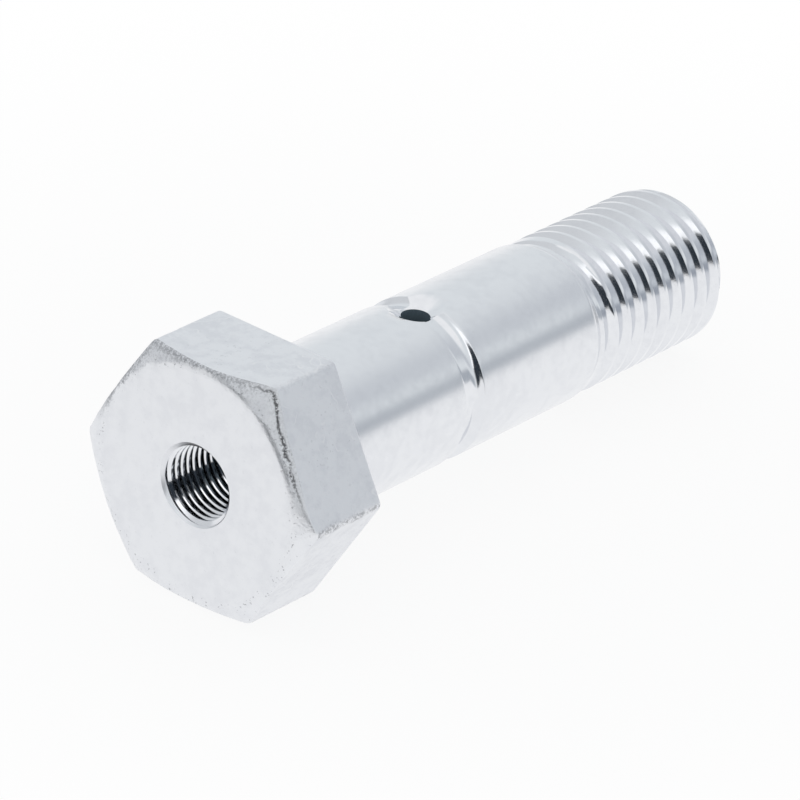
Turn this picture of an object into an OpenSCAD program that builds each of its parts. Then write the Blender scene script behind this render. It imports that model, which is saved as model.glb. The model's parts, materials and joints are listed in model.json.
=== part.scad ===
// Greasable hex bolt, turned from one forging and zinc plated.
// A tapped hole in the head takes a grease nipple. From there the grease runs down an
// axial bore, out through a cross hole and into a groove round the middle of the shank.
// The bolt is drawn along +Z with its bearing face at z = 0, then laid on its side.

/* [Shank] */
// Diameter of the plain shank
shank_d = 20; // [16:0.5:26]
// Length of the plain shank, from the bearing face to the start of the thread
grip_l = 50; // [38:1:120]
// Radius of the fillet between the shank and the bearing face
neck_fillet = 0.8; // [0.3:0.1:1.5]

/* [Head] */
// Width of the hexagon across its flats
head_af = 29.5; // [26:0.5:46]
// Height of the head
head_h = 12.3; // [10:0.1:20]
// Distance from the rim of the round end face to the flats
face_rim = 0.45; // [0.2:0.05:2]
// Slope of the bevel round the end face
face_bevel_angle = 30; // [15:1:40]

/* [Thread] */
// Length of the threaded end
thread_l = 25; // [18:1:60]
// Distance from one thread crest to the next
thread_pitch = 2.5; // [1.5:0.25:3]
// How much smaller the thread is than the shank, across the crests
thread_allowance = 0.35; // [0.1:0.05:0.6]
// Length of the taper from the shank down to the start of the thread
taper_l = 1.2; // [0.6:0.1:2]
// Depth of that taper below the shank
taper_depth = 0.5; // [0.2:0.05:0.8]
// Turns over which the thread grows to its full depth
runout_turns = 0.75; // [0.25:0.05:1.5]
// Length of the bevel at the thread's tip
tip_bevel = 1.2; // [0.5:0.1:2]

/* [Grease passage] */
// Nominal diameter of the tapped hole for the grease nipple
nipple_d = 10; // [6:1:12]
// Pitch of the tapped hole
nipple_pitch = 1; // [0.75:0.25:1.25]
// Depth of the tapped hole below the end face
nipple_depth = 14; // [9:0.5:24]
// Width of the countersink round the mouth of the tapped hole, beyond the nominal diameter
mouth_extra = 0.2; // [0:0.1:1]
// Diameter of the axial grease bore
bore_d = 5; // [3:0.5:5.5]
// Diameter of the cross hole
cross_hole_d = 3.5; // [2:0.25:5]
// Diameter of the countersink round the cross hole, at the shank's surface
sink_d = 7.7; // [5.5:0.1:9]

/* [Grease groove] */
// Distance of the groove from the middle of the plain shank, towards the thread
groove_offset = 0.65; // [-10:0.05:10]
// Width of the groove at the shank's surface
groove_w = 3.5; // [3:0.1:8]
// Depth of the groove
groove_depth = 0.9; // [0.5:0.05:1.2]
// Radius of the groove's bottom corners
groove_corner = 1; // [0.2:0.05:1.2]

/* [Hidden] */

$fn = 96;
// Length by which a cutter passes the surface it opens
overrun = 0.5;
// Slope of the thread's flanks and of the groove's sides, from the radial direction
flank_angle = 30;
// Slope of a drill's point, from the radial direction
drill_angle = 31;

shank_r = shank_d / 2;
bolt_l = grip_l + thread_l;
thread_r = shank_r - thread_allowance / 2;
taper_r = shank_r - taper_depth;
tip_r = thread_r - tip_bevel;

// Hexagon head, with a flat on top
hex_half_angle = 30;
head_corner_r = head_af / 2 / cos(hex_half_angle);
face_r = head_af / 2 - face_rim;
bevel_h = (head_corner_r - face_r) * tan(face_bevel_angle);

// Sections of a standard thread, as shares of the sharp triangle's height and of the pitch
outer_depth_share = 17 / 24;
inner_depth_share = 5 / 8;
root_width_share = 1 / 6;
sharp_share = cos(flank_angle);

// Groove of the bolt's thread, which starts this far round the shank from the top
thread_start_angle = 176;
thread_start_z = grip_l - thread_pitch / 16;
thread_turns = thread_l / thread_pitch + 1;
thread_root_r = shank_r - outer_depth_share * sharp_share * thread_pitch;
thread_root_w = root_width_share * thread_pitch;
first_share = 0.02;
// The cutter reaches past the crests, and its sides are straight from step to step
cutter_r = thread_r + thread_pitch / 16;
cutter_steps = 36;

// Tapped hole, drawn plain at its minor diameter
tapped_r = nipple_d / 2 - inner_depth_share * sharp_share * nipple_pitch;
mouth_r = (nipple_d + mouth_extra) / 2;
tapped_end = nipple_depth - head_h;

// Grease passage
bore_r = bore_d / 2;
groove_pos = grip_l / 2 + groove_offset;
bore_end = groove_pos + cross_hole_d;
sink_depth = (sink_d - cross_hole_d) / 2 * tan(drill_angle);

// The bolt lies on the back edge of one flat and on the last crest of its thread
rest_tilt = atan2(head_af / 2 - thread_r, bolt_l - tip_bevel);

// Points of an arc round centre c, from angle a to angle b
function arc(c, r, a, b, steps = 8) =
    [for (i = [0 : steps]) c + r * [cos(a + (b - a) * i / steps), sin(a + (b - a) * i / steps)]];

// Hexagonal prism with its bevelled round end face
module head() {
    bevel_r = head_corner_r + overrun;
    intersection() {
        translate([0, 0, -head_h])
            rotate(hex_half_angle)
                cylinder(r = head_corner_r, h = head_h, $fn = 6);
        rotate_extrude()
            polygon([
                [0, -head_h],
                [face_r, -head_h],
                [bevel_r, -head_h + bevel_h + overrun * tan(face_bevel_angle)],
                [bevel_r, 0],
                [0, 0],
            ]);
    }
}

// Shank, taper and blank of the thread, turned as one
module shank() {
    rotate_extrude()
        polygon(concat(
            [[0, -overrun], [shank_r + neck_fillet, -overrun]],
            arc([shank_r + neck_fillet, neck_fillet], neck_fillet, 270, 180),
            [
                [shank_r, grip_l - taper_l],
                [taper_r, grip_l],
                [taper_r, grip_l + thread_pitch / 4],
                [thread_r, grip_l + thread_pitch],
                [thread_r, bolt_l - tip_bevel],
                [tip_r, bolt_l],
                [0, bolt_l],
            ]
        ));
}

// Depth of the thread after a number of turns, as a share of the full depth
function thread_share(turns) = min(1, first_share + turns / runout_turns);

// Section of the thread's groove after a number of turns
function thread_section(turns) =
    let (
        a = thread_start_angle + 360 * turns,
        z = thread_start_z + thread_pitch * turns,
        inner = cutter_r - (cutter_r - thread_root_r) * thread_share(turns),
        half_root = thread_root_w / 2,
        half_mouth = half_root + (cutter_r - inner) * tan(flank_angle),
        section = [[inner, -half_root], [cutter_r, -half_mouth], [cutter_r, half_mouth], [inner, half_root]]
    )
    [for (p = section) [p[0] * cos(a), p[0] * sin(a), z + p[1]]];

// Helical cutter of the thread
module thread_cutter() {
    sections = ceil(thread_turns * cutter_steps);
    points = [for (i = [0 : sections]) each thread_section(i / cutter_steps)];
    sides = [
        for (i = [0 : sections - 1], k = [0 : 3])
            let (a = 4 * i + k, b = 4 * i + (k + 1) % 4)
                each [[a, b, b + 4], [a, b + 4, a + 4]]
    ];
    last = 4 * sections;
    caps = [[0, 2, 1], [0, 3, 2], [last, last + 1, last + 2], [last, last + 2, last + 3]];
    polyhedron(points, concat(sides, caps));
}

// Tapped hole and axial bore, as one turned cutter
module grease_bore() {
    rotate_extrude()
        polygon([
            [0, -head_h - overrun],
            [mouth_r + overrun, -head_h - overrun],
            [tapped_r, -head_h + mouth_r - tapped_r],
            [tapped_r, tapped_end],
            [bore_r, tapped_end + (tapped_r - bore_r) * tan(drill_angle)],
            [bore_r, bore_end],
            [0, bore_end + bore_r * tan(drill_angle)],
        ]);
}

// Hole from the axial bore out to the top of the groove, countersunk by a drill's point
module cross_hole() {
    sink_end_d = sink_d + 2 * overrun / tan(drill_angle);
    translate([0, 0, groove_pos])
        rotate([0, 90, 0]) {
            cylinder(d = cross_hole_d, h = shank_r + overrun);
            translate([0, 0, shank_r - sink_depth])
                cylinder(d1 = cross_hole_d, d2 = sink_end_d, h = sink_depth + overrun);
        }
}

// Ring that cuts the grease groove, with sloping sides and rounded bottom corners
module grease_groove() {
    corner_r = shank_r - groove_depth + groove_corner;
    side_r = corner_r - groove_corner * sin(flank_angle);
    half_floor = groove_w / 2 - (shank_r - side_r) * tan(flank_angle) - groove_corner * cos(flank_angle);
    half_mouth = groove_w / 2 + overrun * tan(flank_angle);
    corner_turn = 90 - flank_angle;
    translate([0, 0, groove_pos])
        rotate_extrude()
            polygon(concat(
                [[shank_r + overrun, half_mouth]],
                arc([corner_r, half_floor], groove_corner, 180 - corner_turn, 180),
                arc([corner_r, -half_floor], groove_corner, 180, 180 + corner_turn),
                [[shank_r + overrun, -half_mouth]]
            ));
}

// Lays the bolt on its side as it comes to rest, the cross hole on top
module laid_down() {
    rotate([0, 90 + rest_tilt, 0])
        rotate(180)
            children();
}

module bolt() {
    color("lightsteelblue")
        laid_down()
            difference() {
                union() {
                    head();
                    shank();
                }
                thread_cutter();
                grease_bore();
                cross_hole();
                grease_groove();
            }
}

bolt();
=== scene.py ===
"""Finished look of a greasable bolt: its rounded and threaded skin, its zinc plate and a plain studio."""
import json
import math
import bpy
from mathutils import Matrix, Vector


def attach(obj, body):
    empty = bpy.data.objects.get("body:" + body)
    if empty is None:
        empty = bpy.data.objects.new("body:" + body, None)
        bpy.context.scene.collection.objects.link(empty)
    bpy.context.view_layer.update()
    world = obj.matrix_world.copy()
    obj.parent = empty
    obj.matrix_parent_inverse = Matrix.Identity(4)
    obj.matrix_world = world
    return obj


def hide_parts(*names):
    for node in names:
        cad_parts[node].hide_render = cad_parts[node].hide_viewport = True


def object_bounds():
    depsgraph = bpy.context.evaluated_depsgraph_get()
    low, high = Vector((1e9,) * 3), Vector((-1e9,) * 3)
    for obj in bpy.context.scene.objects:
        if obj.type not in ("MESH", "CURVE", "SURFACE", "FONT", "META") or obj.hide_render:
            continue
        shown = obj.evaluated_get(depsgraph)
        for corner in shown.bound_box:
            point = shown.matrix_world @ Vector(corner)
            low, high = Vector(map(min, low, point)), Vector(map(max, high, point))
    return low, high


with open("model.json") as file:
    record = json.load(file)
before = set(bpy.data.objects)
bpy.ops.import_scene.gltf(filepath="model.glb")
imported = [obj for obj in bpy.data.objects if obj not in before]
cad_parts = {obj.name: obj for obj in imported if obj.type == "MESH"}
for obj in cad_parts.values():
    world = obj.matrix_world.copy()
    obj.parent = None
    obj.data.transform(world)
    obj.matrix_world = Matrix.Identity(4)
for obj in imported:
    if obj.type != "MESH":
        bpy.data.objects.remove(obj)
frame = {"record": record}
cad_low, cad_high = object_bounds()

from types import SimpleNamespace

import bpy
from mathutils import Matrix, Vector

bl_info = {
    "name": "Greasable Bolt",
    "version": (1, 0, 0),
    "blender": (4, 5, 0),
    "location": "3D View > Sidebar > Bolt",
    "description": "Builds a zinc plated greasable bolt that lies on a plain studio floor",
    "category": "Add Mesh",
}

MM = 0.001
NODE = "bolt"
BODY = "root"

# The bolt's own axes in the shared frame: from its axis up to the cross hole, to its near side and along it
MOUNTS = {mount["name"]: mount for mount in frame["record"]["mounts"]}
ALONG = Vector(MOUNTS["shank"]["axis"]).normalized()
NEAR_SIDE = Vector((0, -1, 0))
TO_CROSS_HOLE = NEAR_SIDE.cross(ALONG)
LAID_DOWN = Matrix((TO_CROSS_HOLE, NEAR_SIDE, ALONG)).transposed()

# Sizes of the head that its material also needs
SIDES = 6
HALF_SIDE = math.pi / SIDES
HEAD_HEIGHT = 12.3 * MM
FACE_RIM = 0.45 * MM
HALF_ACROSS = cad_high.y * math.cos(HALF_SIDE)
FACE_RADIUS = HALF_ACROSS - FACE_RIM

# Faces round the bolt, in equal sides that crowd towards the corners of the hexagon
COLUMNS = 24 * SIDES
CROWDING = 0.8
CORNER_ROWS = 5
MERGE_DISTANCE = 0.002 * MM

# How sharply the bevel curves down towards the flats, its depth against a true cone,
# the turn from the cross hole where forging left it deeper, and the turns over which that fades
BEVEL_POWER = 2.2
BEVEL_SHARE = 0.8
DENT_TURN = 0.125
DENT_FADE = (0.03, 0.12)

# How far a thread's flank rises over its width, and the share of its depth where it starts
FLANK_RISE = math.sqrt(3)
FIRST_SHARE = 0.02

# Shares of a thread's pitch: half its flat root outside and in the tapped hole, how far its flanks
# overrun the crests, how far before the grip's end the groove starts, where the blank starts to rise
# past the taper and over what length, and the length over which the tapped thread runs out
ROOT_HALF = 1 / 12
TAPPED_ROOT_HALF = 1 / 16
OVERRUN = 1 / 16
START_BACK = 1 / 16
BLANK_START = 1 / 4
BLANK_RISE = 3 / 4
TAPPED_RUNOUT = 1.5

# Brightness of the softbox beyond the head, against the white of the studio
SOFTBOX = 1.3

# Middle of the floor along the bolt, the paper's own colour, and how plain its white is near the bolt
FLOOR_X = 30 * MM
PAPER = (0.9, 0.9, 0.9, 1.0)
PLAIN_NEAR = 0.88

# Finishes that the faces carry for the plate's material
FINISH = "finish"
TURNED, CUT, FACED, FORGED, FLAT, BORED = range(6)


def mount_size(name, key):
    """A mount's dimension in metres."""
    return MOUNTS[name]["dims"][key] * MM


def length(name, description, metres):
    """A length that a user can change."""
    return bpy.props.FloatProperty(
        name=name, description=description, default=metres, unit="LENGTH", precision=5
    )


def angle(name, description, degrees):
    """An angle that a user can change."""
    return bpy.props.FloatProperty(
        name=name, description=description, default=math.radians(degrees), subtype="ANGLE"
    )


def share(name, description, value):
    """A share from 0 to 1 that a user can change."""
    return bpy.props.FloatProperty(
        name=name, description=description, default=value, min=0.0, max=1.0, subtype="FACTOR"
    )


def colour(name, description, red, green, blue):
    """A colour that a user can change."""
    return bpy.props.FloatVectorProperty(
        name=name, description=description, default=(red, green, blue), min=0.0, max=1.0, subtype="COLOR"
    )


class BoltSizes(bpy.types.PropertyGroup):
    """Sizes of the bolt, which the node tree takes as its inputs."""

    shank_radius: length("Shank radius", "Radius of the plain shank", mount_size("shank", "r_mm"))
    grip: length("Grip", "Length of the plain shank below the head", 50 * MM)
    neck_fillet: length("Neck fillet", "Fillet between the shank and the bearing face", 0.8 * MM)
    corner_radius: length("Corner radius", "From the axis to the hexagon's corners", cad_high.y)
    head_height: length("Head height", "Height of the head", HEAD_HEIGHT)
    face_rim: length("Face rim", "From the rim of the end face to the flats", FACE_RIM)
    bevel_angle: angle("Bevel angle", "Slope of the bevel round the end face", 30)
    bevel_dent: length("Bevel dent", "How much deeper the bevel is over its near upper corner", 1.0 * MM)
    edge_rounding: length("Edge rounding", "Rounding of the head's edges", 0.22 * MM)
    corner_rounding: length("Corner rounding", "Rounding of the hexagon's corners", 1.0 * MM)
    rim_curve: length("Rim curve", "How far inside its rim the end face starts to curve down", 0.8 * MM)
    edge_wander: length("Edge wander", "How far the head's bevel and corners wander", 0.08 * MM)
    flat_wander: length("Flat wander", "How far the head's flats wander", 0.015 * MM)
    thread_length: length(
        "Thread length", "Length of the threaded end", mount_size("bolt_thread", "length_mm")
    )
    thread_radius: length(
        "Thread radius", "Radius of the thread's crests", mount_size("bolt_thread", "r_mm")
    )
    thread_pitch: length("Thread pitch", "From one crest to the next", 2.5 * MM)
    crest_rounding: length("Crest rounding", "Rounding of the thread's crests and roots", 0.05 * MM)
    thread_start: angle("Thread start", "Where the thread starts, round from the cross hole", 176)
    runout_turns: bpy.props.FloatProperty(
        name="Run-out turns",
        description="Turns over which the thread grows to its full depth",
        default=0.75,
    )
    taper_length: length("Taper length", "Length of the taper before the thread", 1.2 * MM)
    taper_depth: length("Taper depth", "Depth of the taper before the thread", 0.5 * MM)
    tip_bevel: length("Tip bevel", "Length of the bevel at the tip", 1.2 * MM)
    nipple_radius: length("Nipple radius", "Nominal radius of the tapped hole", 5 * MM)
    tapped_radius: length(
        "Tapped radius", "Minor radius of the tapped hole", mount_size("nipple_thread", "r_mm")
    )
    nipple_pitch: length("Nipple pitch", "Pitch of the tapped hole", 1 * MM)
    nipple_start: angle("Nipple start", "Turn of the tapped hole's thread", 0)
    nipple_depth: length("Nipple depth", "Depth of the tapped hole below the end face", 14 * MM)
    mouth_radius: length("Mouth radius", "Radius of the tapped hole's mouth", 5.1 * MM)
    bore_radius: length("Bore radius", "Radius of the axial bore", 2.5 * MM)
    drill_angle: angle("Drill angle", "Slope of a drill's point", 31)
    cross_hole_radius: length("Cross hole radius", "Radius of the cross hole", 1.75 * MM)
    sink_radius: length("Sink radius", "Radius of the countersink round the cross hole", 3.85 * MM)
    groove_offset: length("Groove offset", "From the middle of the grip to the groove", 0.65 * MM)
    groove_width: length("Groove width", "Width of the grease groove at the surface", 3.5 * MM)
    groove_depth: length("Groove depth", "Depth of the grease groove", 0.9 * MM)
    groove_corner: length("Groove corner", "Radius of the groove's bottom corners", 1.0 * MM)
    groove_edge: length("Groove edge", "Rounding of the groove's upper edges", 0.06 * MM)
    flank_angle: angle("Flank angle", "Slope of the thread's flanks and the groove's sides", 30)


class PlateLook(bpy.types.PropertyGroup):
    """Colours and roughness of the zinc plate."""

    bright: colour("Bright plate", "Colour of clean plate", 0.80, 0.815, 0.845)
    dull: colour("Dull plate", "Colour of the plate's cloudy patches", 0.70, 0.715, 0.755)
    crease: colour("Crease", "Colour of the fine lines on the flats", 0.90, 0.905, 0.92)
    speck: colour("Speck", "Colour of small specks and pits", 0.30, 0.31, 0.33)
    grit: colour("Grit", "Colour of the grit on the forged bevel's upper half", 0.30, 0.31, 0.33)
    # A broken near-black line painted 0.3 mm inside the near flat's edge, on the upper bevel
    dark_edge_line: colour("Scar", "Colour of the broken dark line along the near flat's edge", 0.06, 0.06, 0.065)
    # Painted shade: a dark colour deep in the bore and the cross hole, which stands in for the shade there
    bore_shade: colour("Bare steel", "Colour inside the bore, where no plate reaches", 0.15, 0.20, 0.235)
    roughness: share("Roughness", "Roughness of clean plate", 0.24)


class StudioLook(bpy.types.PropertyGroup):
    """Colours of the studio, and the camera's place."""

    white: colour("White", "Floor, sweep and softbox", 1.0, 1.0, 1.0)
    wall: colour("Wall", "Walls between the floor and the bright ceiling", 0.82, 0.85, 0.865)
    side_wall: colour("Side wall", "Grey wall to the right of the camera", 0.63, 0.655, 0.69)
    side_band: colour("Side band", "Darker band at the foot of that wall", 0.46, 0.49, 0.53)
    left_wall: colour("Left wall", "Grey wall on the left", 0.72, 0.735, 0.75)
    dark_band: colour("Dark band", "Dark part of the room beyond the head", 0.03, 0.038, 0.048)
    floor_radius: length("Floor radius", "Radius of the floor", 0.5)
    azimuth: angle("Azimuth", "Direction of the camera round the bolt", -52.2)
    elevation: angle("Elevation", "Height of the camera above the horizon", 30.11)
    roll: angle("Roll", "Turn of the camera about its own axis", 3.24)
    distance: length("Distance", "From the camera to the point that it looks at", 0.6962)
    target: bpy.props.FloatVectorProperty(
        name="Target",
        description="Point that the camera looks at",
        default=(26.87 * MM, 2.12 * MM, -5.36 * MM),
        subtype="TRANSLATION",
        unit="LENGTH",
        precision=5,
    )
    lens: bpy.props.FloatProperty(
        name="Lens", description="Focal length on a 36 mm sensor, in millimetres", default=268.3
    )


class Value:
    """An output socket that takes part in arithmetic. Each operation adds a Math node."""

    def __init__(self, graph, socket):
        self.graph = graph
        self.socket = socket

    def output(self, key):
        """Another output of the same node, by its name or number."""
        return Value(self.graph, self.socket.node.outputs[key])

    def __add__(self, other):
        return self.graph.math("ADD", self, other)

    __radd__ = __add__

    def __sub__(self, other):
        return self.graph.math("SUBTRACT", self, other)

    def __rsub__(self, other):
        return self.graph.math("SUBTRACT", other, self)

    def __mul__(self, other):
        return self.graph.math("MULTIPLY", self, other)

    __rmul__ = __mul__

    def __truediv__(self, other):
        return self.graph.math("DIVIDE", self, other)

    def __rtruediv__(self, other):
        return self.graph.math("DIVIDE", other, self)

    def __pow__(self, other):
        return self.graph.math("POWER", self, other)

    def __rpow__(self, other):
        return self.graph.math("POWER", other, self)

    def __lt__(self, other):
        return self.graph.math("LESS_THAN", self, other)

    def __gt__(self, other):
        return self.graph.math("GREATER_THAN", self, other)


class Graph:
    """A node tree that is written as expressions."""

    def __init__(self, tree):
        self.tree = tree
        self.tree.nodes.clear()

    def node(self, kind, settings=None, inputs=None, output=0):
        """Adds a node, sets it up, then sets or links its inputs. Returns one of its outputs."""
        made = self.tree.nodes.new(kind)
        for name, value in (settings or {}).items():
            setattr(made, name, value)
        for key, value in (inputs or {}).items():
            for one in value if isinstance(value, list) else [value]:
                self.feed(made.inputs[key], one)
        return Value(self, made.outputs[output]) if made.outputs else None

    def feed(self, socket, value):
        """Links a value to a socket, or sets the socket to a plain one."""
        if isinstance(value, Value):
            self.tree.links.new(value.socket, socket)
        else:
            socket.default_value = value

    def math(self, operation, *values):
        return self.node("ShaderNodeMath", {"operation": operation}, dict(enumerate(values)))

    def least(self, first, second):
        return self.math("MINIMUM", first, second)

    def most(self, first, second):
        return self.math("MAXIMUM", first, second)

    def vector(self, x, y, z):
        return self.node("ShaderNodeCombineXYZ", inputs={"X": x, "Y": y, "Z": z})

    def step(self, value, low, high):
        """Rises smoothly from 0 to 1 between two values."""
        inputs = {"Value": value, "From Min": low, "From Max": high}
        return self.node("ShaderNodeMapRange", {"interpolation_type": "SMOOTHSTEP"}, inputs)

    def blend(self, factor, first, second):
        """Mixes two colours."""
        inputs = {0: factor, 6: first, 7: second}
        return self.node("ShaderNodeMix", {"data_type": "RGBA"}, inputs, output=2)


class BoltSkin:
    """The bolt's skin as bands of faces round its axis, from the bottom of its bore out to its tip.

    It is made upright: the axis is Z, the bearing face is at zero and the cross hole points along X.
    """

    def __init__(self, graph, size):
        self.graph = graph
        self.size = size
        self.bands = []
        place = graph.node("GeometryNodeInputPosition")
        across = graph.node("ShaderNodeSeparateXYZ", inputs={"Vector": place})
        self.across = across + 0.5
        self.up = across.output("Y") + 0.5
        self.turn = self.crowd(self.across)
        self.hexagon = self.hexagon_radius()
        self.groove_height = size.grip / 2 + size.groove_offset

    def crowd(self, turn):
        """Moves evenly spread turns towards the hexagon's corners."""
        wave = self.graph.math("SINE", turn * (SIDES * math.tau))
        return turn + wave * (CROWDING / (SIDES * math.tau))

    def hexagon_radius(self):
        """Radius of the hexagon with rounded corners, at each turn."""
        graph, size = self.graph, self.size
        flat = size.corner_radius * math.cos(HALF_SIDE)
        from_corner = graph.math("PINGPONG", (self.turn + 0.5 / SIDES) * math.tau, HALF_SIDE)
        centre = (flat - size.corner_rounding) / math.cos(HALF_SIDE)
        reach = size.corner_rounding * math.cos(HALF_SIDE) + centre
        rounded = graph.math("TANGENT", from_corner) * reach < size.corner_rounding * math.sin(HALF_SIDE)
        offset = centre * graph.math("SINE", from_corner)
        chord = graph.most(size.corner_rounding * size.corner_rounding - offset * offset, 0.0)
        arc = centre * graph.math("COSINE", from_corner) + graph.math("SQRT", chord)
        side = flat / graph.math("COSINE", HALF_SIDE - from_corner)
        return side + rounded * (arc - side)

    def place(self, grid, turn, radius, height, finish):
        """Bends a flat grid round the axis, as one band."""
        graph = self.graph
        round_by = turn * math.tau
        x = radius * graph.math("COSINE", round_by)
        y = radius * graph.math("SINE", round_by)
        inputs = {"Geometry": grid, "Position": graph.vector(x, y, height)}
        self.bands.append(self.finished(graph.node("GeometryNodeSetPosition", inputs=inputs), finish))

    def finished(self, geometry, finish):
        """Marks faces with their finish."""
        inputs = {"Geometry": geometry, "Name": FINISH, "Value": float(finish)}
        settings = {"data_type": "FLOAT", "domain": "FACE"}
        return self.graph.node("GeometryNodeStoreNamedAttribute", settings, inputs)

    def grid(self, columns, rows):
        inputs = {"Size X": 1.0, "Size Y": 1.0, "Vertices X": columns + 1, "Vertices Y": rows + 1}
        return self.graph.node("GeometryNodeMeshGrid", inputs=inputs)

    def line(self, start, end, rows, finish):
        """A band from one point of the section straight to another, with its rows close at both ends."""
        spread = 0.5 - 0.5 * self.graph.math("COSINE", self.up * math.pi)
        radius = start[0] + (end[0] - start[0]) * spread
        height = start[1] + (end[1] - start[1]) * spread
        self.place(self.grid(COLUMNS, rows), self.turn, radius, height, finish)

    def corner(self, start, corner, end, finish):
        """A band that rounds a corner of the section."""
        left = 1.0 - self.up
        first, second, third = left * left, 2.0 * left * self.up, self.up * self.up
        radius, height = (first * start[i] + second * corner[i] + third * end[i] for i in (0, 1))
        self.place(self.grid(COLUMNS, CORNER_ROWS), self.turn, radius, height, finish)

    def dip(self, start, end, power, reached, rows, finish):
        """A band that leaves its start level and dips ever more steeply, up to a share of the way.

        Returns the point that it reaches.
        """
        spread = reached * self.up
        radius = start[0] + (end[0] - start[0]) * spread
        height = start[1] + (end[1] - start[1]) * spread ** power
        self.place(self.grid(COLUMNS, rows), self.turn, radius, height, finish)
        return start[0] + (end[0] - start[0]) * reached, start[1] + (end[1] - start[1]) * reached ** power

    def towards(self, start, end, distance):
        """The point of the section at a distance from one point towards another."""
        run, rise = end[0] - start[0], end[1] - start[1]
        part = distance / self.graph.math("SQRT", run * run + rise * rise)
        return start[0] + run * part, start[1] + rise * part

    def section(self, knots):
        """Bands along a run of the section.

        Each knot has a radius, a height, the rounding there, and the rows and finish of the face after it.
        """
        start = knots[0][:2]
        for here, there, beyond in zip(knots, knots[1:], knots[2:] + [None]):
            rows, finish = here[3:]
            corner, rounding = there[:2], there[2]
            if rounding is None:
                self.line(start, corner, rows, finish)
                start = corner
                continue
            lead_in = self.towards(corner, here[:2], rounding)
            lead_out = self.towards(corner, beyond[:2], rounding)
            self.line(start, lead_in, rows, finish)
            self.corner(lead_in, corner, lead_out, there[4])
            start = lead_out

    def spread(self, parts):
        """Spreads a band's rows over its parts, each with its number of rows and its share of the width."""
        rows = sum(count for count, _ in parts)
        passed, reached = 0, 0.0
        for count, width in parts:
            inside = self.graph.least(self.graph.most(self.up * rows - passed, 0.0), count)
            reached = reached + inside * (width / count)
            passed += count
        return rows, reached

    def wound(self, parts, pitch, start, low, high, lean, radius_at, finish):
        """A band that winds between two heights, one pitch wide, so that its rows follow a thread.

        Start is the height of a groove's middle at no turn. Lean is 1 on the outside and -1 in a hole.
        """
        graph = self.graph
        below, above = (1.0, 0.0) if lean > 0 else (0.0, 1.0)
        first = graph.math("FLOOR", ((low - start) / pitch - below) * SIDES) / SIDES
        last = (high - start) / pitch + above
        columns = graph.math("CEIL", (last - first) * SIDES) * (COLUMNS / SIDES)
        turn = self.crowd(first + self.across * (columns / COLUMNS))
        rows, reached = self.spread(parts)
        free = start + pitch * (turn + lean * reached)
        height = graph.least(graph.most(free, low), high)
        self.place(self.grid(columns, rows), turn, radius_at(turn, height), height, finish)

    def into_groove(self, turn, height, start, pitch):
        """The number of the thread's groove below a point, and the point's height over its middle."""
        phase = (height - start) / pitch - turn
        number = self.graph.math("FLOOR", phase)
        return number, (phase - number) * pitch


def bolt_thread_radius(skin, turn, height):
    """Radius of the bolt's thread, cut into its turned blank, with its run-out and its bevelled tip."""
    graph, size = skin.graph, skin.size
    pitch = size.thread_pitch
    root_radius = bolt_thread_root(size)
    reach = size.thread_radius + pitch * OVERRUN
    taper_radius = size.shank_radius - size.taper_depth
    tip_start = size.grip + size.thread_length - size.tip_bevel

    rise = (height - size.grip - pitch * BLANK_START) / (pitch * BLANK_RISE)
    rise = graph.least(graph.most(rise, 0.0), 1.0)
    blank = taper_radius + (size.thread_radius - taper_radius) * rise - graph.most(height - tip_start, 0.0)

    number, above = skin.into_groove(turn, height, bolt_thread_origin(size), pitch)
    turns = number + turn - size.thread_start / math.tau

    def cut(after, distance):
        depth = graph.least(FIRST_SHARE + after / size.runout_turns, 1.0)
        flank = graph.math("SMOOTH_MAX", distance - pitch * ROOT_HALF, 0.0, size.crest_rounding)
        return reach - (reach - root_radius) * depth + flank * FLANK_RISE

    grooves = graph.least(cut(turns, above), cut(turns + 1.0, pitch - above))
    return graph.math("SMOOTH_MIN", blank, grooves, size.crest_rounding)


def bolt_thread_root(size):
    """Radius at the bottom of the thread's groove."""
    sharp_height = size.thread_pitch * (FLANK_RISE / 2)
    return size.shank_radius - sharp_height * (17 / 24)


def bolt_thread_origin(size):
    """Height of the groove's middle, wound back to no turn."""
    return size.grip - size.thread_pitch * (START_BACK + size.thread_start / math.tau)


def nipple_thread_radius(skin, turn, height):
    """Radius of the thread in the tapped hole, which runs out at its bottom and opens at its mouth."""
    graph, size = skin.graph, skin.size
    pitch = size.nipple_pitch
    above = skin.into_groove(turn, height, nipple_thread_origin(size), pitch)[1]
    distance = graph.least(above, pitch - above)
    depth = size.nipple_radius - size.tapped_radius
    flank = depth - graph.most(distance - pitch * TAPPED_ROOT_HALF, 0.0) * FLANK_RISE
    left = graph.least((size.nipple_depth - size.head_height - height) / (pitch * TAPPED_RUNOUT), 1.0)
    threaded = size.tapped_radius + graph.most(flank, 0.0) * left
    mouth = size.mouth_radius - (height + size.head_height)
    return graph.most(threaded, mouth)


def nipple_thread_origin(size):
    """Height of the tapped groove's middle, wound back to no turn."""
    return size.nipple_pitch * (size.nipple_start / math.tau) - size.head_height


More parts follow.
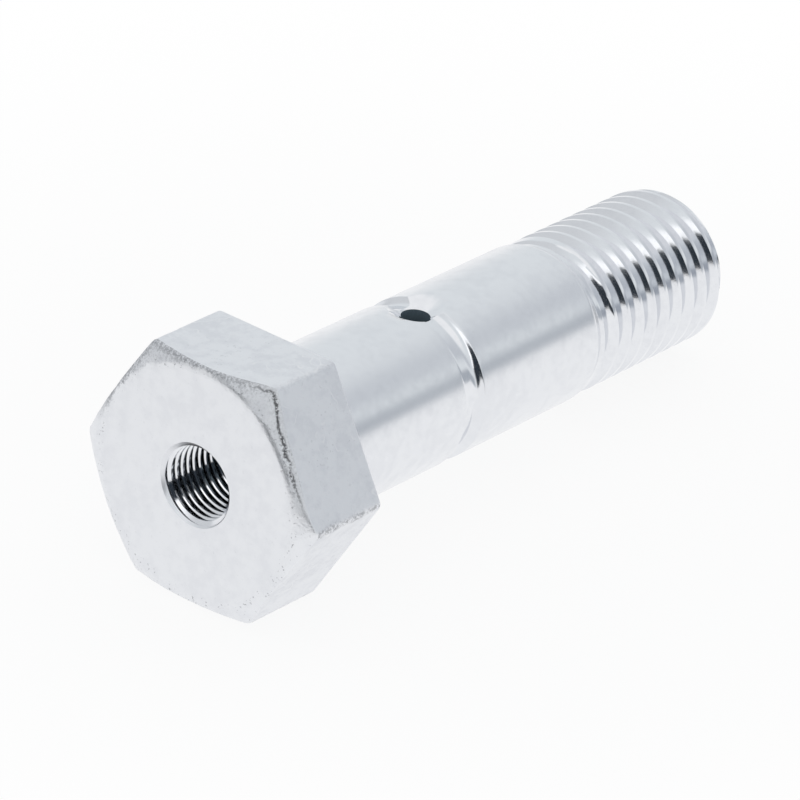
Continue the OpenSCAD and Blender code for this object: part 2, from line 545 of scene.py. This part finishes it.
def add_bore(skin):
    """The drilled grease bore, from its point up to the tapped hole, and the thread in that hole."""
    graph, size = skin.graph, skin.size
    slope = graph.math("TANGENT", size.drill_angle)
    bore_end = skin.groove_height + size.cross_hole_radius * 2
    tapped_end = size.nipple_depth - size.head_height
    bore_start = tapped_end + (size.tapped_radius - size.bore_radius) * slope
    skin.section([
        (0.0, bore_end + size.bore_radius * slope, None, 2, BORED),
        (size.bore_radius, bore_end, None, 24, BORED),
        (size.bore_radius, bore_start, None, 3, BORED),
        (size.tapped_radius, tapped_end, None),
    ])
    root, flank, crest = (1, TAPPED_ROOT_HALF), (2, 5 / 16), (2, 1 / 4)
    skin.wound(
        [root, flank, crest, flank, root],
        size.nipple_pitch, nipple_thread_origin(size), -1.0 * size.head_height, tapped_end, -1,
        lambda turn, height: nipple_thread_radius(skin, turn, height), BORED,
    )


def add_head_and_shank(skin):
    """The head from its mouth to its bearing face, and the shank with its groove up to the thread."""
    graph, size = skin.graph, skin.size
    face = -1.0 * size.head_height
    face_radius = size.corner_radius * math.cos(HALF_SIDE) - size.face_rim
    cone = (skin.hexagon - face_radius) * graph.math("TANGENT", size.bevel_angle)
    dent = 1.0 - graph.step(graph.math("ABSOLUTE", skin.turn - DENT_TURN), *DENT_FADE)
    bevel = face + cone * BEVEL_SHARE + size.bevel_dent * dent
    side = size.groove_depth * graph.math("TANGENT", size.flank_angle)
    turn_back = graph.math("TANGENT", math.pi / 4 - size.flank_angle / 2)
    middle, half = skin.groove_height, size.groove_width / 2
    bottom = size.shank_radius - size.groove_depth
    rim, edge = (face_radius - size.rim_curve, face), (skin.hexagon, bevel)
    below_edge = (skin.hexagon, bevel + size.edge_rounding)
    reached = 1.0 - size.edge_rounding / (skin.hexagon - rim[0])
    skin.line((size.mouth_radius, face), rim, 12, FACED)
    skin.corner(skin.dip(rim, edge, BEVEL_POWER, reached, 14, FORGED), edge, below_edge, FORGED)
    skin.section([
        (*below_edge, None, 18, FLAT),
        (skin.hexagon, 0.0, size.edge_rounding, 8, FLAT),
        (size.shank_radius, 0.0, size.neck_fillet, 12, TURNED),
        (size.shank_radius, middle - half, size.groove_edge, 3, CUT),
        (bottom, middle - half + side, size.groove_corner * turn_back, 5, CUT),
        (bottom, middle + half - side, size.groove_corner * turn_back, 3, CUT),
        (size.shank_radius, middle + half, size.groove_edge, 12, TURNED),
        (size.shank_radius, size.grip - size.taper_length, size.edge_rounding, 5, TURNED),
        (size.shank_radius - size.taper_depth, size.grip, None),
    ])


def add_thread_and_tip(skin):
    """The wound thread, and the flat end of the tip."""
    size = skin.size
    tip = size.grip + size.thread_length
    flank_width = (size.thread_radius - bolt_thread_root(size)) / size.thread_pitch / FLANK_RISE
    root, flank, crest = (1, ROOT_HALF), (7, flank_width), (5, 1 - 2 * ROOT_HALF - 2.0 * flank_width)
    skin.wound(
        [root, flank, crest, flank, root],
        size.thread_pitch, bolt_thread_origin(size), size.grip, tip, 1,
        lambda turn, height: bolt_thread_radius(skin, turn, height), CUT,
    )
    rim = bolt_thread_radius(skin, skin.turn, tip)
    skin.line((rim, tip), (0.0, tip), 6, TURNED)


def cut_cross_hole(skin, body):
    """Drills from the groove down into the bore, and sinks the hole's mouth with a wider drill's point."""
    graph, size = skin.graph, skin.size
    slope = graph.math("TANGENT", size.drill_angle)
    inputs = {"Vertices": 64, "Radius": size.cross_hole_radius, "Depth": size.shank_radius}
    drill = graph.node("GeometryNodeMeshCylinder", inputs=inputs)
    drill_middle = size.shank_radius * 0.6
    tip_radius, past = size.cross_hole_radius * 0.9, 0.5 * MM
    depth = (size.sink_radius - tip_radius) * slope
    inputs = {
        "Vertices": 96,
        "Radius Top": size.sink_radius + past / slope,
        "Radius Bottom": tip_radius,
        "Depth": depth + past,
    }
    sink = graph.node("GeometryNodeMeshCone", inputs=inputs)
    cutters = []
    for cutter, start, finish in (
        (drill, drill_middle, BORED), (sink, size.shank_radius - depth, CUT)
    ):
        inputs = {
            "Geometry": cutter,
            "Translation": graph.vector(start, 0.0, skin.groove_height),
            "Rotation": (0.0, math.pi / 2, 0.0),
        }
        cutters.append(skin.finished(graph.node("GeometryNodeTransform", inputs=inputs), finish))
    settings = {"operation": "DIFFERENCE", "solver": "EXACT"}
    return graph.node("GeometryNodeMeshBoolean", settings, {"Mesh 1": body, "Mesh 2": cutters})


def roughen_head(skin, body):
    """Lets the bevel, the corners and the flats of the head wander, as forging leaves them."""
    graph, size = skin.graph, skin.size
    place = graph.node("GeometryNodeInputPosition")
    x = graph.node("ShaderNodeSeparateXYZ", inputs={"Vector": place})
    y, z = x.output("Y"), x.output("Z")
    radius = graph.math("SQRT", x * x + y * y)
    half_across = size.corner_radius * math.cos(HALF_SIDE)
    rim = half_across - size.face_rim - size.rim_curve
    up_flat = z + size.head_height - (radius - half_across) * graph.math("TANGENT", size.bevel_angle)

    on_bevel = 1.0 - graph.step(up_flat, 0.5 * MM, 1.3 * MM)
    on_corner = graph.step(radius / hexagon_reach(graph, x, y), 1.09, 1.13)
    on_head = graph.step(radius, rim, rim + 0.6 * MM) * (1.0 - graph.step(z, -0.7 * MM, -0.2 * MM))
    wander = size.flat_wander + (size.edge_wander - size.flat_wander) * graph.most(on_bevel, on_corner)
    noise = graph.node("ShaderNodeTexNoise", inputs={"Vector": place, "Scale": 0.9 / MM, "Detail": 3.0})
    inputs = {0: graph.node("GeometryNodeInputNormal"), "Scale": (noise - 0.5) * 2.0 * wander * on_head}
    shift = graph.node("ShaderNodeVectorMath", {"operation": "SCALE"}, inputs)
    return graph.node("GeometryNodeSetPosition", inputs={"Geometry": body, "Offset": shift})


def hexagon_reach(graph, x, y):
    """How far a point lies from the axis, square to the nearest flat."""
    across, slant = math.sin(HALF_SIDE) * x, math.cos(HALF_SIDE) * y
    first, second = (graph.math("ABSOLUTE", one) for one in (across + slant, across - slant))
    return graph.most(graph.math("ABSOLUTE", x), graph.most(first, second))


def bolt_tree(sizes, material):
    """The node tree that makes the bolt from its sizes."""
    tree = bpy.data.node_groups.new("Greasable bolt", "GeometryNodeTree")
    graph = Graph(tree)
    tree.interface.new_socket("Geometry", in_out="OUTPUT", socket_type="NodeSocketGeometry")
    keys = list(BoltSizes.__annotations__)
    for key in keys:
        tree.interface.new_socket(
            sizes.bl_rna.properties[key].name, in_out="INPUT", socket_type="NodeSocketFloat"
        )
    entry = graph.node("NodeGroupInput")
    size = SimpleNamespace(**{key: entry.output(i) for i, key in enumerate(keys)})

    skin = BoltSkin(graph, size)
    add_bore(skin)
    add_head_and_shank(skin)
    add_thread_and_tip(skin)
    body = graph.node("GeometryNodeJoinGeometry", inputs={"Geometry": skin.bands})
    body = graph.node("GeometryNodeMergeByDistance", inputs={"Geometry": body, "Distance": MERGE_DISTANCE})
    body = roughen_head(skin, body)
    body = cut_cross_hole(skin, body)
    body = graph.node("GeometryNodeRealizeInstances", inputs={"Geometry": body})
    body = graph.node("GeometryNodeSetMaterial", inputs={"Geometry": body, "Material": material})
    graph.node("NodeGroupOutput", inputs={"Geometry": body})
    return tree


def bake_bolt(name, tree, sizes):
    """Runs the tree and returns its result as a plain mesh object, laid down."""
    made = bpy.data.objects.new(name, bpy.data.meshes.new(name))
    bpy.context.scene.collection.objects.link(made)
    modifier = made.modifiers.new(name, "NODES")
    modifier.node_group = tree
    sockets = [item for item in tree.interface.items_tree if item.in_out == "INPUT"]
    for socket, key in zip(sockets, BoltSizes.__annotations__):
        modifier[socket.identifier] = getattr(sizes, key)
    depsgraph = bpy.context.evaluated_depsgraph_get()
    mesh = bpy.data.meshes.new_from_object(made.evaluated_get(depsgraph), depsgraph=depsgraph)
    if not mesh.polygons:
        raise RuntimeError("The bolt's node tree made no faces")
    made.modifiers.remove(modifier)
    made.data = mesh
    mesh.transform(LAID_DOWN.to_4x4())
    mesh.shade_smooth()
    mesh.set_sharp_from_angle(angle=math.radians(35))
    return made


def plate_marks(graph):
    """Noises and masks of the plate, laid out along the bolt's own axes in millimetres."""
    place = graph.node("ShaderNodeTexCoord", output="Object")
    inputs = {
        "Vector": place, "Rotation": LAID_DOWN.inverted().to_euler(), "Scale": (1 / MM, 1 / MM, 1 / MM)
    }
    place = graph.node("ShaderNodeMapping", {"vector_type": "POINT"}, inputs)
    up = graph.node("ShaderNodeSeparateXYZ", inputs={"Vector": place})
    near, along = up.output("Y"), up.output("Z")
    radius = graph.math("SQRT", up * up + near * near)
    reach = hexagon_reach(graph, up, near)
    past_rim = radius - FACE_RADIUS / MM

    def noise(scale, detail, roughness=0.5):
        inputs = {"Vector": place, "Scale": scale, "Detail": detail, "Roughness": roughness}
        return graph.node("ShaderNodeTexNoise", inputs=inputs)

    mark = SimpleNamespace()
    finish = graph.node("ShaderNodeAttribute", {"attribute_name": FINISH}, output="Fac")
    mark.cut, mark.faced, mark.forged, mark.flat, mark.bored = (
        graph.math("COMPARE", finish, float(kind), 0.1) for kind in (CUT, FACED, FORGED, FLAT, BORED)
    )
    mark.cloud, mark.mottle = noise(0.16, 2.0), noise(0.7, 4.0, 0.6)
    mark.grain, mark.fine = noise(2.6, 3.0, 0.6), noise(3.4, 4.0, 0.75)

    mark.at_rim = 1.0 - graph.step(graph.math("ABSOLUTE", past_rim), 0.2, 0.7)
    mark.to_edge = HALF_ACROSS / MM - reach
    mark.at_edge = 1.0 - graph.step(mark.to_edge, 0.1, 1.2)
    mark.at_corner = graph.step(radius / reach + 0.04 * (mark.mottle - 0.5), 1.13, 1.15)
    mark.at_mouth = mark.bored * (1.0 - graph.step(along + HEAD_HEIGHT / MM, 0.3, 0.7))
    # Where the painted shade goes: deep in the bore and the cross hole
    mark.inside = mark.bored * graph.step(along, -3.0, 3.0)
    mark.near_side, mark.top = graph.step(near, 5.0, 9.0), graph.step(up, 0.0, 4.0)
    ragged = past_rim + 1.4 * (mark.mottle - 0.5) + 1.0 * (mark.fine - 0.5)
    mark.upper = graph.step(up, 1.0, 7.0) * mark.forged * graph.step(ragged, -0.1, 0.3)

    mark.specks = graph.step(noise(2.2, 2.0, 0.7) + 0.05 * mark.at_rim, 0.66, 0.71)
    creases = 1.0 - graph.step(graph.math("ABSOLUTE", noise(0.3, 2.0) - 0.5), 0.0, 0.025)
    mark.creases = creases * graph.step(mark.cloud, 0.46, 0.56) * graph.step(mark.mottle, 0.4, 0.6)
    return mark


def plate_colour(graph, look, mark):
    """Colour of the plate: cloudy patches, specks, grit, a broken dark line, creases, and painted shade
    deep in the bore.
    """
    patches = graph.step(0.4 * mark.cloud + 0.6 * mark.mottle, 0.42, 0.62) * (0.35 + 0.25 * mark.flat)
    speckled = 0.06 + 0.05 * mark.faced + 0.1 * mark.flat + 0.4 * mark.forged + 0.2 * mark.at_rim
    grit = graph.step(mark.fine + 0.08 * mark.at_edge, 0.44, 0.66) * mark.upper
    grit = grit * (0.3 + 0.4 * mark.at_edge) * (1.0 - 0.6 * mark.near_side)
    worn = graph.step(mark.fine, 0.44, 0.56) * mark.flat * mark.near_side
    worn = worn * mark.at_corner * (0.7 - 0.55 * mark.top)
    # A broken near-black line 0.3 mm inside the near flat's edge, kept to the upper bevel on the near side
    off_line = graph.math("ABSOLUTE", mark.to_edge - 0.3 - 0.6 * (mark.mottle - 0.5))
    dark_edge_line = (1.0 - graph.step(off_line, 0.05, 0.18)) * graph.step(mark.fine, 0.4, 0.5)
    base = (*look.bright, 1.0)
    for cover, tint in (
        (patches, look.dull),
        (mark.specks * speckled, look.speck),
        (graph.most(grit, worn), look.grit),
        (0.9 * dark_edge_line * mark.upper * mark.near_side, look.dark_edge_line),
        (0.6 * mark.creases * mark.flat, look.crease),
        # Painted shade deep in the bore and the cross hole
        (mark.inside, look.bore_shade),
    ):
        base = graph.blend(cover, base, (*tint, 1.0))
    return base


def zinc_plate(look):
    """Bright zinc plate: clean on the shank, cloudy on the flats, gritty on the bevel, with painted shade
    deep in the bore.
    """
    material = bpy.data.materials.new("Zinc plate")
    material.use_nodes = True
    graph = Graph(material.node_tree)
    mark = plate_marks(graph)
    rough = look.roughness + 0.08 * (mark.faced + mark.forged) + 0.2 * mark.flat - 0.13 * mark.cut
    rough = rough + mark.upper * (0.3 + 0.25 * mark.near_side)
    rough = rough - 0.16 * mark.bored + 0.28 * mark.at_mouth + 0.1 * (mark.mottle - 0.5)
    # The painted shade in the bore is also made less metallic
    metal = 1.0 - 0.7 * mark.inside - 0.9 * mark.upper * mark.near_side
    grain_height = 0.002 + 0.004 * mark.faced + 0.02 * mark.flat + 0.05 * mark.forged
    height = (0.006 + 0.07 * mark.flat) * mark.mottle + grain_height * mark.grain
    bump = graph.node("ShaderNodeBump", inputs={"Strength": 1.0, "Distance": MM, "Height": height})
    inputs = {
        "Base Color": plate_colour(graph, look, mark),
        "Metallic": metal,
        "Roughness": rough,
        "Normal": bump,
    }
    shader = graph.node("ShaderNodeBsdfPrincipled", inputs=inputs)
    graph.node("ShaderNodeOutputMaterial", inputs={"Surface": shader})
    return material


def floor_paper(look):
    """White paper, plain white far from the bolt and with the bolt's soft shadow near it."""
    material = bpy.data.materials.new("Floor paper")
    material.use_nodes = True
    graph = Graph(material.node_tree)
    place = graph.node("ShaderNodeTexCoord", output="Object")
    away = graph.node("ShaderNodeVectorMath", {"operation": "LENGTH"}, {0: place}, output="Value")
    ray = graph.node("ShaderNodeLightPath", output="Is Camera Ray")
    mirrored = graph.most(ray.output("Is Glossy Ray"), ray.output("Is Transmission Ray"))
    plainness = PLAIN_NEAR + (1.0 - PLAIN_NEAR) * graph.step(away, 0.03, 0.14)
    plain = graph.most(mirrored, ray * plainness)
    paper = graph.node("ShaderNodeBsdfDiffuse", inputs={"Color": PAPER})
    white = graph.node("ShaderNodeEmission", inputs={"Color": (*look.white, 1.0), "Strength": 1.0})
    shader = graph.node("ShaderNodeMixShader", inputs={0: plain, 1: paper, 2: white})
    graph.node("ShaderNodeOutputMaterial", inputs={"Surface": shader})
    return material


def studio_world(look):
    """White sweep and softbox with a dark band of room between them. The camera itself sees white."""
    world = bpy.data.worlds.new("Studio")
    world.use_nodes = True
    graph = Graph(world.node_tree)
    way = graph.node("ShaderNodeTexCoord", output="Generated")
    x = graph.node("ShaderNodeSeparateXYZ", inputs={"Vector": way})
    y, z = x.output("Y"), x.output("Z")
    height = graph.math("DEGREES", graph.math("ARCSINE", z))
    to_head = graph.step(-0.96 * x - 0.27 * y, 0.5, 0.85)
    to_left = graph.step(-0.6 * x + 0.78 * y, 0.55, 0.85)
    to_right = graph.step(0.74 * x - 0.67 * y, 0.35, 0.85)
    room = graph.blend(graph.step(height, -8.0, 18.0), (*look.white, 1.0), (*look.wall, 1.0))
    room = graph.blend(graph.step(height, 42.0, 56.0), room, (*look.white, 1.0))
    for side, foot, top, tint in (
        (to_left, (2.0, 8.0), (32.0, 45.0), look.left_wall),
        (to_right, (18.0, 28.0), (34.0, 46.0), look.side_wall),
        (to_right, (-1.5, 2.5), (9.5, 15.5), look.side_band),
        (to_head, (-4.5, -3.0), (18.0, 20.0), look.dark_band),
        (to_head, (19.0, 20.5), (25.0, 29.0), [SOFTBOX * part for part in look.white]),
    ):
        cover = side * graph.step(height, *foot) * (1.0 - graph.step(height, *top))
        room = graph.blend(cover, room, (*tint, 1.0))
    ray = graph.node("ShaderNodeLightPath", output="Is Camera Ray")
    light = graph.node("ShaderNodeBackground", inputs={"Color": room, "Strength": 1.0})
    white = graph.node("ShaderNodeBackground", inputs={"Color": (*look.white, 1.0), "Strength": 1.0})
    shader = graph.node("ShaderNodeMixShader", inputs={0: ray, 1: light, 2: white})
    graph.node("ShaderNodeOutputWorld", inputs={"Surface": shader})
    return world


def studio_floor(look):
    """A round floor under the bolt."""
    bpy.ops.mesh.primitive_circle_add(
        vertices=96, radius=look.floor_radius, fill_type="NGON", location=(FLOOR_X, 0, cad_low.z)
    )
    floor = bpy.context.object
    floor.name = "floor"
    floor.data.materials.append(floor_paper(look))


def studio_camera(look):
    """The camera, placed by its angles round the point that it looks at."""
    cosine = math.cos(look.elevation)
    back = Vector((
        math.sin(look.azimuth) * cosine, -math.cos(look.azimuth) * cosine, math.sin(look.elevation)
    ))
    data = bpy.data.cameras.new("camera")
    data.lens = look.lens
    camera = bpy.data.objects.new("camera", data)
    bpy.context.scene.collection.objects.link(camera)
    turned = (-back).to_track_quat("-Z", "Y").to_matrix()
    rolled = turned @ Matrix.Rotation(look.roll, 3, "Z")
    camera.matrix_world = Matrix.Translation(Vector(look.target) + back * look.distance) @ rolled.to_4x4()
    data.clip_start = look.distance / 100
    data.clip_end = look.distance * 100
    bpy.context.scene.camera = camera


class BOLT_OT_make_bolt(bpy.types.Operator):
    """Make the bolt with its thread, groove and holes"""

    bl_idname = "bolt.make_bolt"
    bl_label = "Make bolt"

    def execute(self, context):
        sizes = context.scene.bolt_sizes
        tree = bolt_tree(sizes, zinc_plate(context.scene.plate_look))
        made = bake_bolt("zinc_bolt", tree, sizes)
        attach(made, BODY)
        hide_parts(NODE)
        return {"FINISHED"}


class BOLT_OT_make_stage(bpy.types.Operator):
    """Make the floor, the studio's light and the camera"""

    bl_idname = "bolt.make_stage"
    bl_label = "Make stage"

    def execute(self, context):
        look = context.scene.studio_look
        context.scene.world = studio_world(look)
        context.scene.view_settings.view_transform = "Standard"
        studio_floor(look)
        studio_camera(look)
        return {"FINISHED"}


class BOLT_PT_panel(bpy.types.Panel):
    """Sizes, colours and operators of the bolt"""

    bl_label = "Greasable bolt"
    bl_idname = "BOLT_PT_panel"
    bl_space_type = "VIEW_3D"
    bl_region_type = "UI"
    bl_category = "Bolt"

    def draw(self, context):
        for operator in OPERATORS:
            self.layout.operator(operator.bl_idname)
        for settings in (context.scene.bolt_sizes, context.scene.plate_look, context.scene.studio_look):
            column = self.layout.column()
            for key in type(settings).__annotations__:
                column.prop(settings, key)


OPERATORS = (BOLT_OT_make_stage, BOLT_OT_make_bolt)
CLASSES = (BoltSizes, PlateLook, StudioLook, *OPERATORS, BOLT_PT_panel)


def register():
    for each in CLASSES:
        bpy.utils.register_class(each)
    bpy.types.Scene.bolt_sizes = bpy.props.PointerProperty(type=BoltSizes)
    bpy.types.Scene.plate_look = bpy.props.PointerProperty(type=PlateLook)
    bpy.types.Scene.studio_look = bpy.props.PointerProperty(type=StudioLook)


def unregister():
    del bpy.types.Scene.studio_look
    del bpy.types.Scene.plate_look
    del bpy.types.Scene.bolt_sizes
    for each in reversed(CLASSES):
        bpy.utils.unregister_class(each)


def main():
    register()
    bpy.ops.bolt.make_stage()
    bpy.ops.bolt.make_bolt()


if __name__ == "__main__":
    main()
